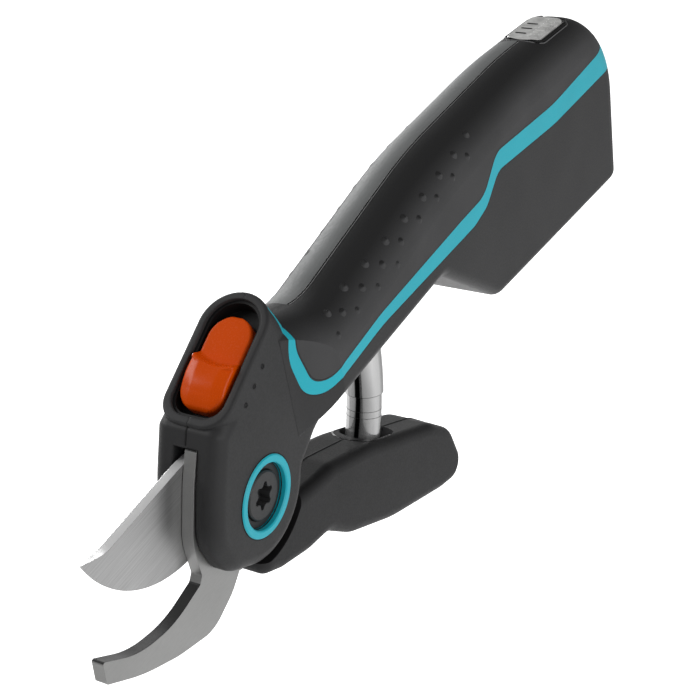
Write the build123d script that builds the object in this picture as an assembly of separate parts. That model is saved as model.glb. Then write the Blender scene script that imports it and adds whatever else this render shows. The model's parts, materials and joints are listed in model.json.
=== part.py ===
from build123d import *
import os
from math import cos, pi, radians, sin

os.makedirs("parts", exist_ok=True)

# A one-hand battery pruner. Millimetres, +Z up. The origin is the blade pivot, on the
# parting plane of the housing. Blades point to -X, the handle runs to +X, and the
# pivot axis is Y. "Left" is the -Y half and "right" is the +Y half.

# ---------------------------------------------------------------- driving dimensions
HEAD_HALF = 8.8          # half the thickness of the head
HEAD_ROUND = 16.9        # radius of the head's underside about the pivot
GRIP_HALF = 12.3         # half the thickness of the handle
WALL = 2.2               # housing wall
SKIN = 1.2               # depth of the soft grips and the trim let into the shells
GAP = 0.3                # clearance between pieces that move past each other
RUNNING = 0.05           # radial clearance of a shaft in its hole

REAR_X = 212.0           # rear end of the handle
GRIP_UNDER_Z = 4.8       # underside of the slim part of the handle
TOP_EDGE_R = 11.0        # rounding along the top of the handle
BOTTOM_EDGE_R = 3.0      # rounding along its underside
HEAD_EDGE_R = 3.4        # rounding round the head
SPINE_HALF = 8.2         # how far the palm strip reaches down the right of the spine

SLOPE = 26.9             # tilt of the head's top, where the safety slider runs, degrees
BOSS_TOP = (11.8, 37.1)  # centre of the slider boss's rear end, on its rim (x, z)
BOSS_FRONT = 24.5        # from that centre to the boss's squared front
POCKET_R = 6.9           # half the width of the pocket in the boss
POCKET_DEPTH = 5.0
SLIDER_R = 5.7           # half the width of the slider
SLIDER_REAR = -2.8       # centre of the slider's round rear end, along the slope

SLOT_HALF = 3.25         # half the width of the blade slot in the head
PLATE_GAP = 0.05         # between each plate and the parting plane
HOOK_Y = (-3.05, -PLATE_GAP)    # the hook's two faces
BLADE_Y = (PLATE_GAP, 2.35)     # the cutting blade's two faces
EDGE_CENTRE = (-16.15, 30.2)    # centre of the cutting edge's arc (x, z)
EDGE_R = 34.86
EDGE_FLAT = 0.45         # height above the flat face where the bevel starts
EDGE_BEVEL = 5.0         # width of the bevel
BOLT_R = 4.0             # pivot bolt
BOLT_HEAD_R = 5.9
RING_R = 9.9             # outer radius of the coloured pivot ring
RING_INNER_R = 7.9
RING_PROUD = 0.35        # how far the ring stands out of the head
SOCKET_R = 3.4           # six-lobe socket, outer radius

LEVER_HALF = 8.5         # half the thickness of the lever
LEVER_CLEAR_R = 17.6     # the lever's hollow round the head's underside
LEVER_EDGE_R = 3.0

TUBE_PATH_R = 60.0       # radius of the telescopic sleeve's curve about the pivot
TUBE_TOP = (4.20, 3.80)  # outer and inner radius of the tube fixed in the handle
TUBE_LOW = (4.65, 4.25)  # the tube fixed in the lever
TUBE_MID = (5.10, 4.75)  # the floating sleeve outside both

BUTTON_X = 177.5         # middle of the power button
BUTTON_HALF = 5.2        # half its width
BUTTON_LENGTH = 20.5
BUTTON_CORNER_R = 2.8
BUTTON_TILT = 6.2        # slope of the handle's top there, degrees
BUTTON_TOP_Z = 31.6      # handle's top under the middle of the button
BUTTON_TRAVEL = 1.2

CELL_R = 9.15            # lithium cell, 18.3 mm across
CELL_LENGTH = 65.0
CELL_START = (127.5, -10.4)     # its front end (x, z)
CELL_TILT = 6.8          # it lies parallel to the underside, degrees
DRUM_R = 4.0             # radius the strap winds on; the drum turns 15 times the lever
DRUM_ANGLE = 20.5        # where the strap leaves the sleeve's curve, about the pivot
STRAP_T = 0.5
STRAP_HALF = 2.2
DRIVE_Z = 20.4           # height of the motor's shaft
GEARBOX_X = (66.0, 92.0)
MOTOR_X = (92.2, 119.2)
MOTOR_R = 7.8

FLAP_Z = (-15.8, -6.2)   # charging port flap, in the rear end
FLAP_HALF = 6.3
FLAP_AXIS = (211.4, -16.2)      # it folds down about the bead on its lower edge (x, z)
FLAP_BEAD_R = 0.5
HOUSING_SCREWS = [(33.5, 12.5), (92.0, 8.6), (121.0, -12.5), (157.0, 23.2), (200.5, -24.0)]
LEVER_SCREWS = [(38.5, -37.5), (79.5, -53.0)]
TANG_PINS = [(20.5, -19.5), (38.5, -29.5)]
HOOK_PINS = [(-9.0, 13.0), (-11.0, -11.5)]


# ---------------------------------------------------------------- small helpers
def face_xz(corners):
    """A face in the XZ plane from (x, z, corner radius) corners, straight between them."""
    points = [(x, z) for x, z, r in corners]
    radii = [r for x, z, r in corners]
    return Plane.XZ * make_face(FilletPolyline(*points, radius=radii, close=True))


def slab(face, y_low, y_high):
    """A face of the XZ plane made solid from y_low to y_high."""
    return extrude(Pos(0, y_high, 0) * face, amount=y_high - y_low)


def prism(corners, y_low, y_high):
    return slab(face_xz(corners), y_low, y_high)


def disc(x, z, radius, y_low, y_high):
    """A cylinder along Y."""
    middle = (y_low + y_high) / 2
    return Pos(x, middle, z) * Rot(90, 0, 0) * Cylinder(radius, y_high - y_low)


def ring(x, z, outer, inner, y_low, y_high):
    return disc(x, z, outer, y_low, y_high) - disc(x, z, inner, y_low - 1, y_high + 1)


def box(x_low, x_high, y_low, y_high, z_low, z_high):
    size = (x_high - x_low, y_high - y_low, z_high - z_low)
    middle = ((x_low + x_high) / 2, (y_low + y_high) / 2, (z_low + z_high) / 2)
    return Pos(*middle) * Box(*size)


def rod(start, direction, radius, length):
    """A cylinder from a point along a direction."""
    return extrude(Plane(origin=start, z_dir=direction) * Circle(radius), amount=length)


def polar(radius, angle):
    """(x, z) at an angle from +X towards +Z, in degrees."""
    return radius * cos(radians(angle)), radius * sin(radians(angle))


# ---------------------------------------------------------------- housing, outside
def handle_corners(inset, rear_r):
    """The handle's side outline: along its top, down the rear and back underneath."""
    i = inset
    return [
        (16 + i, 35.2 - i, 0),
        (37, 27.0 - i, 25 + i),
        (94, 35.7 - i, 140 - i),
        (150, 35.1 - i, 200 - i),
        (REAR_X - i, 28.3 - i, 32 - i),
        (REAR_X - i, -32.4 + i, rear_r),
        (115.7 + i * 0.4, -20.9 + i, 8 - i / 2),
        (86.5 + i * 0.4, GRIP_UNDER_Z + i, 6 + i),
        (16 + i, GRIP_UNDER_Z + i, 0),
    ]


def plan_face(inset):
    """The housing seen from above: slim head, wider handle, blended by two arcs."""
    head = HEAD_HALF - inset
    grip = GRIP_HALF + 1 - inset
    points = [
        (-40, head), (17, head), (37, grip), (REAR_X + 5, grip),
        (REAR_X + 5, -grip), (37, -grip), (17, -head), (-40, -head),
    ]
    radii = [0, 22, 22, 0, 0, 22, 22, 0]
    return make_face(FilletPolyline(*points, radius=radii, close=True))


def handle_solid(inset):
    """The handle with its rounded edges, set in from the outside by inset."""
    half = GRIP_HALF - inset
    body = prism(handle_corners(inset, 0), -half, half)

    def side_edges(shape, top):
        found = []
        for edge in shape.edges():
            m = edge @ 0.5
            if abs(abs(m.Y) - half) > 0.01 or m.X < 17 + inset:
                continue
            if top == (m.Z > 12 or m.X > REAR_X - inset - 0.01):
                found.append(edge)
        return found

    body = fillet(side_edges(body, True), TOP_EDGE_R - inset)
    body = fillet(side_edges(body, False), BOTTOM_EDGE_R - inset)
    body &= prism(handle_corners(inset, 15 - inset), -half - 1, half + 1)
    return body & extrude(Pos(0, 0, -60) * plan_face(inset), amount=120)


def slope_plane(along, above):
    """A plane parallel to the sloping head top. Its origin is along the slope from the
    boss's rear centre (towards the rear is positive) and above the rim."""
    c, t = cos(radians(SLOPE)), sin(radians(SLOPE))
    x = BOSS_TOP[0] + along * c - above * t
    z = BOSS_TOP[1] + along * t + above * c
    return Plane(origin=(x, 0, z), x_dir=(c, 0, t), z_dir=(-t, 0, c))


def slope_block(radius, front, rear, corner_r, top, bottom):
    """A block square to the slope, round at its rear and squared at its front. front is
    the place of its front wall, rear the centre of its round end, top and bottom its
    height from the rim."""
    length = rear - front
    face = Pos(-length / 2, 0) * RectangleRounded(length, radius * 2, corner_r)
    face += Pos(-length / 4, 0) * Rectangle(length / 2, radius * 2) + Circle(radius)
    return extrude(slope_plane(rear, bottom) * face, amount=top - bottom)


def head_solid():
    corners = [
        (-10.4, 25.0, 1.5), (-15.2, 14.6, 40), (-20.2, 1.5, 12), (-16.8, -9.5, 9),
        (-10, -13.6, 1), (0, -15.5, 1), (12, -11.5, 1), (16.6, -4.2, 0.5), (24, 0.6, 9),
        (40, GRIP_UNDER_Z, 0), (40, 20, 1), (24, 27.5, 6), (14, 35.5, 3),
    ]
    outline = face_xz(corners) + Plane.XZ * Circle(HEAD_ROUND)
    body = slab(outline, -HEAD_HALF, HEAD_HALF)
    sides = [e for e in body.edges() if abs(abs((e @ 0.5).Y) - HEAD_HALF) < 0.01]
    sides = [e for e in sides if (e @ 0.5).X < 39]
    return fillet(sides, HEAD_EDGE_R)


def boss_solid():
    body = slope_block(HEAD_HALF, -BOSS_FRONT, 0, 6.0, 0, -13)
    rim = body.faces().sort_by(Axis((0, 0, 0), slope_plane(0, 0).z_dir))[-1]
    return fillet(rim.edges(), 0.7)


def pocket(inset, top, bottom):
    """The room of the slider's pocket, set in by inset."""
    return slope_block(POCKET_R - inset, -BOSS_FRONT + 2.1 + inset, 0, 4.6 - inset, top, bottom)


def stripe_face():
    """The coloured stripe from the side: up round the head's foot, along the low side of
    the grip, and a wider band to the rear end."""
    return face_xz([
        (16.8, 41.5, 0), (19.9, 33.8, 8), (17.5, 25.6, 14), (20.0, 14.5, 8),
        (26.0, 10.0, 10), (34, 11.0, 12),
        (53, 12.1, 60), (105, 9.2, 12), (113, 10.6, 8), (121.5, 16.9, 7),
        (160, 11.2, 90), (REAR_X + 3, 7.6, 0), (REAR_X + 3, 16.6, 0), (160, 17.5, 90),
        (121.5, 22.6, 7), (112.0, 14.4, 9), (98, 14.9, 20), (53, 15.4, 60),
        (34.5, 14.0, 8), (28.5, 12.9, 8), (23.2, 15.6, 6), (20.3, 26.5, 12),
        (21.3, 33.0, 10), (18.3, 42.5, 0),
    ])


def grip_face():
    """The soft grip's region, above the stripe."""
    return face_xz([
        (18.8, 45, 0), (21.7, 33.0, 10), (20.7, 26.5, 12), (23.6, 16.0, 6),
        (28.7, 13.3, 8), (34.5, 14.4, 8),
        (53, 15.8, 60), (98, 15.3, 20), (111.6, 14.9, 9), (121.2, 23.1, 7),
        (160, 17.9, 90), (REAR_X + 3, 17.0, 0), (REAR_X + 3, 45, 0),
    ])


def spine_face():
    """The palm strip's region along the top of the handle."""
    return face_xz([(33, 18, 0), (33, 50, 0), (166, 50, 0), (166, 18, 0)])


def button_column(margin, low, high):
    """The power button's column through the handle's top."""
    plane = Plane(
        origin=(BUTTON_X, 0, BUTTON_TOP_Z),
        x_dir=(cos(radians(BUTTON_TILT)), 0, -sin(radians(BUTTON_TILT))),
        z_dir=(sin(radians(BUTTON_TILT)), 0, cos(radians(BUTTON_TILT))),
    )
    width = 2 * (BUTTON_HALF + margin)
    face = RectangleRounded(BUTTON_LENGTH + 2 * margin, width, BUTTON_CORNER_R + margin)
    return extrude(plane.offset(low) * face, amount=high - low)


# ---------------------------------------------------------------- housing, pieces
def handle_cavity():
    cavity = handle_solid(WALL)
    return cavity - box(0, 28.5, -20, 20, -10, 50)


def slot_solid():
    """The room between the two sides of the head, where the plates lie and turn."""
    corners = [
        (-30, 21.3, 0), (-4, 21.3, 3), (9, 13, 3), (17, 3.9, 2), (60, 3.9, 0),
        (60, -30, 0), (-30, -30, 0),
    ]
    return prism(corners, -SLOT_HALF, SLOT_HALF)


def shell_core(outer):
    """Both housing shells as one piece, with every recess cut."""
    core = outer - handle_cavity()
    inside = handle_solid(0.6)
    for x, z in HOUSING_SCREWS:
        core += disc(x, z, 3.2, -20, 20) & inside
    core -= slot_solid()
    core -= pocket(0, 5, -POCKET_DEPTH)
    core -= button_column(0.25, -12, 5)
    core -= arc_rod(TUBE_MID[0] + 0.35, -2, 14.2)
    core += box(50, 65.5, -12, 12, 14.8, 16.4) & inside
    core -= arc_rod(TUBE_TOP[0], 10.0, 20.0)
    core -= disc(0, 0, BOLT_R + RUNNING, -20, 20)
    for low, high in ((-20, -5.2), (5.2, 20)):
        core -= disc(0, 0, BOLT_HEAD_R + 0.2, low, high)
    for low, high in ((-20, -7.3), (7.3, 20)):
        core -= disc(0, 0, RING_INNER_R, low, high)
    for low, high in ((-20, -7.0), (7.0, 20)):
        core -= disc(0, 0, RING_R, low, high) - disc(0, 0, RING_INNER_R - 0.1, -30, 30)
    for x, z in HOOK_PINS:
        core -= disc(x, z, 1.5, -6.5, 0)
    core -= flap_room()
    for x, z in HOUSING_SCREWS:
        core -= disc(x, z, 1.2, -7.5, 12)
        core -= disc(x, z, 2.75, 8.2, 20)
    return core


def skin_of(outer):
    """The outermost layer of the handle and of the boss's rear corners, behind the head."""
    skin = outer - handle_solid(SKIN) - box(-60, 17.3, -30, 30, -60, 80)
    skin -= slope_block(HEAD_HALF - 1.0, -BOSS_FRONT, 0, 4, 5, -20)
    skin -= slope_block(HEAD_HALF + 0.1, -BOSS_FRONT, 0, 6, 5, -1.4)
    return skin - (slope_block(HEAD_HALF + 0.1, -BOSS_FRONT, 0, 6, 5, -9) & box(0, 40, -5.4, 5.4, 0, 60))


def half_space(side):
    if side == "left":
        return box(-80, 300, -60, 0, -100, 100)
    return box(-80, 300, 0, 60, -100, 100)


def grips(skin):
    """Left grip, right grip and palm strip, cut from the skin."""
    region = slab(grip_face(), -30, 30)
    soft = (skin & region) - button_column(1.0, -30, 30)
    strip_room = slab(spine_face(), 0, SPINE_HALF)
    left = soft & half_space("left")
    right = (soft & half_space("right")) - strip_room
    strip = soft & strip_room
    return left, right, strip


def stripes(skin):
    band = (skin & slab(stripe_face(), -30, 30)) - slab(grip_face(), -30, 30)
    return band & half_space("left"), band & half_space("right")


def pivot_ring(side):
    low, high = -HEAD_HALF - RING_PROUD, -7.0
    body = ring(0, 0, RING_R, RING_INNER_R, low, high)
    body = chamfer(body.edges().sort_by(Axis.Y)[:2], 0.3)
    return body if side == "left" else Rot(0, 0, 180) * body


def slider_tray():
    return pocket(0, -0.9, -POCKET_DEPTH) - pocket(0.7, 1, -POCKET_DEPTH + 0.6)


def bezel():
    """The frame round the power button."""
    body = button_column(1.0, -6.0, 6) - button_column(0.25, -12, 7)
    return (body & handle_solid(0)) - handle_solid(SKIN)


# ---------------------------------------------------------------- blades and pivot
def hook_blade():
    corners = [
        (-12.4, 21.2, 0.5), (-15.9, 14.4, 40), (-20.9, 1.6, 14), (-20.6, -7.6, 0.8),
        (-22.0, -9.3, 0.8), (-33, -11.2, 25), (-45, -8.1, 25), (-54.8, -0.5, 0.5),
        (-55.6, -6.3, 0.8), (-45.5, -13.8, 60), (-34.0, -19.6, 30), (-21.5, -24.0, 10),
        (-12.5, -20.5, 10), (-6, -15.4, 3), (7, -12, 7), (12, 0, 10), (7, 12, 5),
        (-2, 14, 6), (-5, 21.2, 0.5),
    ]
    body = prism(corners, *HOOK_Y) - disc(0, 0, BOLT_R + RUNNING, -20, 20)
    for x, z in HOOK_PINS:
        body -= disc(x, z, 1.5, -20, 20)
    return body


def hook_pin(i):
    """A pin that locks the hook to the left shell."""
    x, z = HOOK_PINS[i]
    return disc(x, z, 1.5, -6.5, -0.3)


def blade_outline():
    tip, heel = (-49.6, 20.5), (-20.4, -4.4)
    edge = ThreePointArc(tip, (-39.7, 4.5), heel)
    root = FilletPolyline(
        heel, (-17.5, -4.0), (-13.4, -5.0), (-11.5, -14.0), (1.0, -16.2), (14.0, -22.4),
        (40.5, -33.8), (44.5, -26.8), (22.0, -14.6), (14.5, -9.6), (12.5, 4.0),
        (4.0, 13.0), (-6.0, 17.4), (-15.0, 18.3), (-42.6, 17.6), tip,
        radius=[0.5, 1.0, 5, 8, 6, 2, 2, 6, 5, 6, 5, 5, 20, 10],
    )
    return Plane.XZ * make_face([edge, root])


def cutting_blade():
    body = slab(blade_outline(), *BLADE_Y) - disc(0, 0, BOLT_R + RUNNING, -20, 20)
    for x, z in TANG_PINS:
        body -= disc(x, z, 2.0, -20, 20)
    x, z = EDGE_CENTRE
    bevel = disc(x, z, EDGE_R + 5, EDGE_FLAT, BLADE_Y[1] + 0.01)
    thickness = BLADE_Y[1] + 0.01 - EDGE_FLAT
    middle = (BLADE_Y[1] + 0.01 + EDGE_FLAT) / 2
    bevel -= Pos(x, middle, z) * Rot(90, 0, 0) * Cone(EDGE_R - EDGE_BEVEL, EDGE_R, thickness)
    body -= bevel & box(-60, -19.5, -5, 5, -10, 25)
    relief = Plane.YZ * make_face(Polyline((1.55, 22), (2.6, 22), (2.6, 16.9), close=True))
    return body - extrude(Pos(-60, 0, 0) * relief, amount=46)


def six_lobe(radius):
    """A six-lobe socket's outline."""
    face = Circle(radius * 0.80)
    for i in range(6):
        x, z = polar(radius * 0.80, 60 * i)
        face += Pos(x, z) * Circle(radius * 0.20)
        x, z = polar(radius * 0.98, 60 * i + 30)
        face -= Pos(x, z) * Circle(radius * 0.28)
    return face


def pivot_bolt():
    head = disc(0, 0, BOLT_HEAD_R, -8.1, -5.2)
    head = chamfer(head.edges().sort_by(Axis.Y)[0], 0.35)
    shank = disc(0, 0, BOLT_R, -5.2, 5.2) + disc(0, 0, 2.5, 5.2, 7.6)
    socket = extrude(Plane.XZ.offset(8.2) * six_lobe(SOCKET_R), amount=-3.0)
    return head + shank - socket


def pivot_nut():
    body = disc(0, 0, BOLT_HEAD_R, 5.2, 8.1) - disc(0, 0, 2.5, 0, 20)
    return chamfer(body.edges().sort_by(Axis.Y)[-1], 0.35)


def pivot_washer():
    return ring(0, 0, 9.0, BOLT_R + RUNNING, BLADE_Y[1] + 0.03, SLOT_HALF)


# ---------------------------------------------------------------- telescopic sleeve
def arc_rod(radius, start, end):
    """A round bar bent to the sleeve's curve, between two angles about the pivot."""
    path = Plane.XZ * CenterArc((0, 0), TUBE_PATH_R, start, end - start)
    at = path @ 0
    return sweep(Plane(origin=at, z_dir=path % 0) * Circle(radius), path=path)


def arc_tube(radii, start, end):
    return arc_rod(radii[0], start, end) - arc_rod(radii[1], start - 1, end + 1)


def sleeve_upper_tube():
    """The top tube, with a turned-in lip that holds the return spring."""
    lip = arc_tube((TUBE_TOP[1] + 0.1, 3.0), 15.2, 16.0)
    return arc_tube(TUBE_TOP, -11.2, 16.0) + lip


def sleeve_middle_tube():
    rim = arc_tube((TUBE_MID[0] + 0.15, TUBE_MID[1]), -2.4, -1.6)
    return arc_tube(TUBE_MID, -14.2, -1.7) + rim


def sleeve_lower_tube():
    """The bottom tube, closed at its foot but for the strap."""
    foot = arc_tube((TUBE_LOW[1] + 0.1, 2.6), -38.6, -37.6)
    return arc_tube(TUBE_LOW, -38.6, -13.2) + foot


def return_spring():
    """A coil spring in the tubes. It pushes the lever open."""
    coil, wire, turns, steps = 3.25, 0.35, 12, 10
    first, last = -37.1, 14.8
    points = []
    for i in range(turns * steps + 1):
        share = i / (turns * steps)
        x, z = polar(TUBE_PATH_R, first + (last - first) * share)
        turn = 2 * pi * i / steps
        out = 1 + coil * cos(turn) / TUBE_PATH_R
        points.append((x * out, coil * sin(turn), z * out))
    path = Spline(*points)
    return sweep(Plane(origin=path @ 0, z_dir=path % 0) * Circle(wire), path=path)


def drum_centre():
    return polar(TUBE_PATH_R + DRUM_R, DRUM_ANGLE)


def pull_strap():
    """The strap: from its pin in the lever, through the tubes and over the drum."""
    x, z = drum_centre()
    rise = CenterArc((0, 0), TUBE_PATH_R, -39.6, DRUM_ANGLE + 39.6)
    wrap = CenterArc((x, z), DRUM_R, 180 + DRUM_ANGLE, -215)
    face = Plane.XZ * (trace(rise, STRAP_T) + trace(wrap, STRAP_T))
    strap = slab(face, -STRAP_HALF, STRAP_HALF)
    x, z = polar(TUBE_PATH_R, -41.4)
    return strap + ring(x, z, 2.1, 1.5, -STRAP_HALF, STRAP_HALF)


def strap_pin():
    x, z = polar(TUBE_PATH_R, -41.4)
    return disc(x, z, 1.5, -4.4, 4.4)


def strap_drum():
    """The winding drum, with a flange at each end."""
    x, z = drum_centre()
    drum = disc(x, z, DRUM_R - STRAP_T / 2, -3.0, 3.0)
    for y in (-3.0, STRAP_HALF + 0.1):
        drum += disc(x, z, DRUM_R + 0.6, y, y + 0.7)
    return drum - disc(x, z, 1.5, -5, 5)


def drum_shaft():
    x, z = drum_centre()
    return disc(x, z, 1.5, -5.2, 5.2)


# ---------------------------------------------------------------- drive
def gearbox_housing():
    """A right-angle gearbox. Its two cheeks carry the drum between them."""
    x, z = drum_centre()
    body = box(*GEARBOX_X, -6.9, 6.9, 12.4, 27.0)
    long_edges = body.edges().filter_by(Axis.X)
    body = fillet(long_edges, 2.4)
    body -= box(60, GEARBOX_X[0] + 3, -3.3, 3.3, 10, 30)
    for low, high in ((-5.2, -3.3), (3.3, 5.2)):
        cheek = disc(x, z, 3.6, low, high) + box(x, GEARBOX_X[0] + 3, low, high, z - 3.6, z + 3.6)
        body += cheek
    body -= disc(x, z, 1.5 + RUNNING, -20, 20)
    return body


def drive_motor():
    length = MOTOR_X[1] - MOTOR_X[0]
    can = rod((MOTOR_X[0], 0, DRIVE_Z), (1, 0, 0), MOTOR_R, length)
    can = fillet(can.edges(), 0.8)
    return can + rod((MOTOR_X[1] - 0.5, 0, DRIVE_Z), (1, 0, 0), 3.0, 2.0)


# ---------------------------------------------------------------- battery and electrics
def cell_plane(along, above=0):
    """A plane square to the cell's axis, so far along the cell."""
    c, t = cos(radians(CELL_TILT)), sin(radians(CELL_TILT))
    x = CELL_START[0] + along * c + above * t
    z = CELL_START[1] - along * t + above * c
    return Plane(origin=(x, 0, z), x_dir=(0, 1, 0), z_dir=(c, 0, -t))


def battery_cell():
    body = extrude(cell_plane(0) * Circle(CELL_R), amount=CELL_LENGTH)
    body = fillet(body.edges(), 0.6)
    return body + extrude(cell_plane(-0.6) * Circle(3.0), amount=1.0)


def cell_contact(place):
    """A spring-steel contact plate at one end of the cell."""
    along = -1.2 if place == "front" else CELL_LENGTH + 0.1
    plate = extrude(cell_plane(along) * RectangleRounded(14, 14, 2), amount=0.5)
    return plate


def control_board():
    """The circuit board above the cell, with its main parts."""
    above = CELL_R + 1.6
    plane = cell_plane(4, above)
    board = extrude(plane * Rectangle(18.4, 1.6), amount=56)
    for along, high, length in ((10, 5.0, 6), (24, 2.4, 10), (40, 6.0, 8)):
        block = cell_plane(along, above + high / 2 + 0.7)
        board += extrude(block * Rectangle(9, high), amount=length)
    return board


def button_switch():
    """The push switch under the power button, on its own small board."""
    board = button_box(26, 17, -12.6, -11.0)
    return board + button_box(8, 8, -11.0, -8.6) + button_box(3.4, 3.4, -8.6, -7.9)


def button_plane(height):
    c, t = cos(radians(BUTTON_TILT)), sin(radians(BUTTON_TILT))
    plane = Plane(origin=(BUTTON_X, 0, BUTTON_TOP_Z), x_dir=(c, 0, -t), z_dir=(t, 0, c))
    return plane.offset(height)


def button_box(length, width, low, high):
    return extrude(button_plane(low) * RectangleRounded(length, width, 0.6), amount=high - low)


def power_button():
    """The button's cap, with a ridge under it that the spring bears on."""
    cap = button_column(0, -5.0, 0.7)
    top = cap.faces().sort_by(Axis.Z)[-1]
    cap = fillet(top.edges(), 0.6)
    cap += button_column(1.1, -5.6, -4.7)
    return cap + extrude(button_plane(-6.6) * Circle(1.5), amount=1.2)


def button_spring():
    """The coil spring round the switch. It lifts the button."""
    path = button_plane(-10.7) * Helix(pitch=1.15, height=4.6, radius=6.4)
    at = path @ 0
    return sweep(Plane(origin=at, z_dir=path % 0) * Circle(0.3), path=path)


def flap_room():
    """The charging port's opening, through the rear wall."""
    half = FLAP_HALF + 0.3
    room = box(196, 220, -half, half, FLAP_Z[0] - 0.35, FLAP_Z[1] + 0.5)
    return room + box(209.8, 220, -4.8, 4.8, FLAP_AXIS[1] - FLAP_BEAD_R - 0.25, FLAP_Z[0])


def port_flap(outer):
    """The rubber flap over the charging port, with the plug on its inside."""
    plate = outer - handle_solid(1.6)
    plate &= box(200, 220, -FLAP_HALF, FLAP_HALF, *FLAP_Z)
    plug = box(207.6, 210.5, -3.0, 3.0, -12.6, -9.4)
    bead = disc(*FLAP_AXIS, FLAP_BEAD_R, -4.5, 4.5)
    return plate + plug + bead


def charge_socket():
    """The charging socket behind the flap."""
    body = box(197, 209.0, -6.2, 6.2, FLAP_Z[0] + 0.1, FLAP_Z[1])
    body -= box(200, 220, -3.5, 3.5, -13.1, -8.4)
    body += box(199, 206.6, -2.6, 2.6, -11.5, -10.5)
    return body & handle_solid(1.9)


# ---------------------------------------------------------------- safety slider
def slope_box(along_low, along_high, half, bottom, top):
    plane = slope_plane((along_low + along_high) / 2, bottom)
    return extrude(plane * Rectangle(along_high - along_low, 2 * half), amount=top - bottom)


def safety_slider():
    """A thumb slide: a raised rest in front and a flat tongue behind it."""
    body = slope_block(SLIDER_R, -20.2, SLIDER_REAR, 4.0, -0.8, -4.1)
    rest = slope_block(SLIDER_R, -20.2, SLIDER_REAR, 4.0, 1.6, -1.5)
    return body + (rest & slope_box(-25, -9.2, 9, -3, 5))


# ---------------------------------------------------------------- lever
def lever_solid():
    """The lever's outside, hollowed to pass under the head."""
    body = prism([
        (12, -10.4, 3.5), (21.5, -12.5, 6), (28, -13.6, 10), (45, -20.9, 60),
        (77.2, -38.5, 16), (86.3, -47.3, 9), (89.5, -58, 5), (87.4, -65.2, 5.5),
        (76, -61.6, 12), (50, -50.2, 60), (31, -39.1, 14), (21.6, -30.2, 8),
        (12, -28.2, 14), (1.0, -24.1, 8), (-6.3, -20.0, 3.5), (-4, -9.5, 3.5),
    ], -LEVER_HALF, LEVER_HALF)
    sides = [e for e in body.edges() if abs(abs((e @ 0.5).Y) - LEVER_HALF) < 0.01]
    return fillet(sides, LEVER_EDGE_R) - disc(0, 0, LEVER_CLEAR_R, -20, 20)


def lever_core_room():
    """The room inside the lever that its core fills."""
    return prism([
        (26, -18.5, 2), (45, -26.5, 20), (77, -43.5, 8), (85.5, -51, 5), (86, -58, 4),
        (80, -59.5, 5), (52, -46.2, 40), (30, -33.6, 4),
    ], -4.5, 4.5)


def sleeve_hole():
    """The opening in the lever's top, longer than it is wide, round the sleeve."""
    c, t = cos(radians(-27.0)), sin(radians(-27.0))
    plane = Plane(origin=(TUBE_PATH_R * c, 0, TUBE_PATH_R * t - 4.5), x_dir=(c, 0, t), z_dir=(-t, 0, c))
    mouth = extrude(plane * SlotOverall(17.5, 11.4), amount=12)
    return mouth + arc_rod(TUBE_MID[0] + 0.45, -29.5, -15)


def tang_room():
    return slab(offset(blade_outline(), 0.1), BLADE_Y[0] - 0.05, BLADE_Y[1] + 0.05)


def lever_shells():
    body = lever_solid() - lever_core_room() - sleeve_hole() - tang_room()
    body -= arc_rod(TUBE_LOW[0], -38.6, -10)
    for x, z in LEVER_SCREWS:
        body -= disc(x, z, 1.2, -6, 12)
        body -= disc(x, z, 2.6, 5.9, 20)
    for x, z in TANG_PINS:
        body -= disc(x, z, 2.0, -6.0, 6.0)
    return body


def lever_core():
    """The metal core that joins the blade's tang to the sleeve and the strap."""
    body = lever_core_room() - sleeve_hole() - tang_room()
    body -= arc_rod(TUBE_LOW[0], -38.6, -10)
    body -= slab(Plane.XZ * trace(CenterArc((0, 0), TUBE_PATH_R, -42, 6), 2.0), -2.6, 2.6)
    x, z = polar(TUBE_PATH_R, -41.4)
    body -= disc(x, z, 2.5, -2.6, 2.6)
    body -= disc(x, z, 1.5, -10, 10)
    for x, z in LEVER_SCREWS:
        body -= disc(x, z, 1.2, -10, 10)
    for x, z in TANG_PINS:
        body -= disc(x, z, 2.0, -10, 10)
    return body


def tang_pin(i):
    x, z = TANG_PINS[i]
    return disc(x, z, 2.0, -6.0, 6.0)


def screw(x, z, tip, seat, head_r, head_t):
    """A screw along Y, its head on the right, with a cross recess."""
    body = disc(x, z, 1.2, tip, seat) + disc(x, z, head_r, seat, seat + head_t)
    for length, width in ((2.6, 0.7), (0.7, 2.6)):
        body -= box(x - length / 2, x + length / 2, seat + head_t - 0.9, seat + 9,
                    z - width / 2, z + width / 2)
    return body


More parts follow.
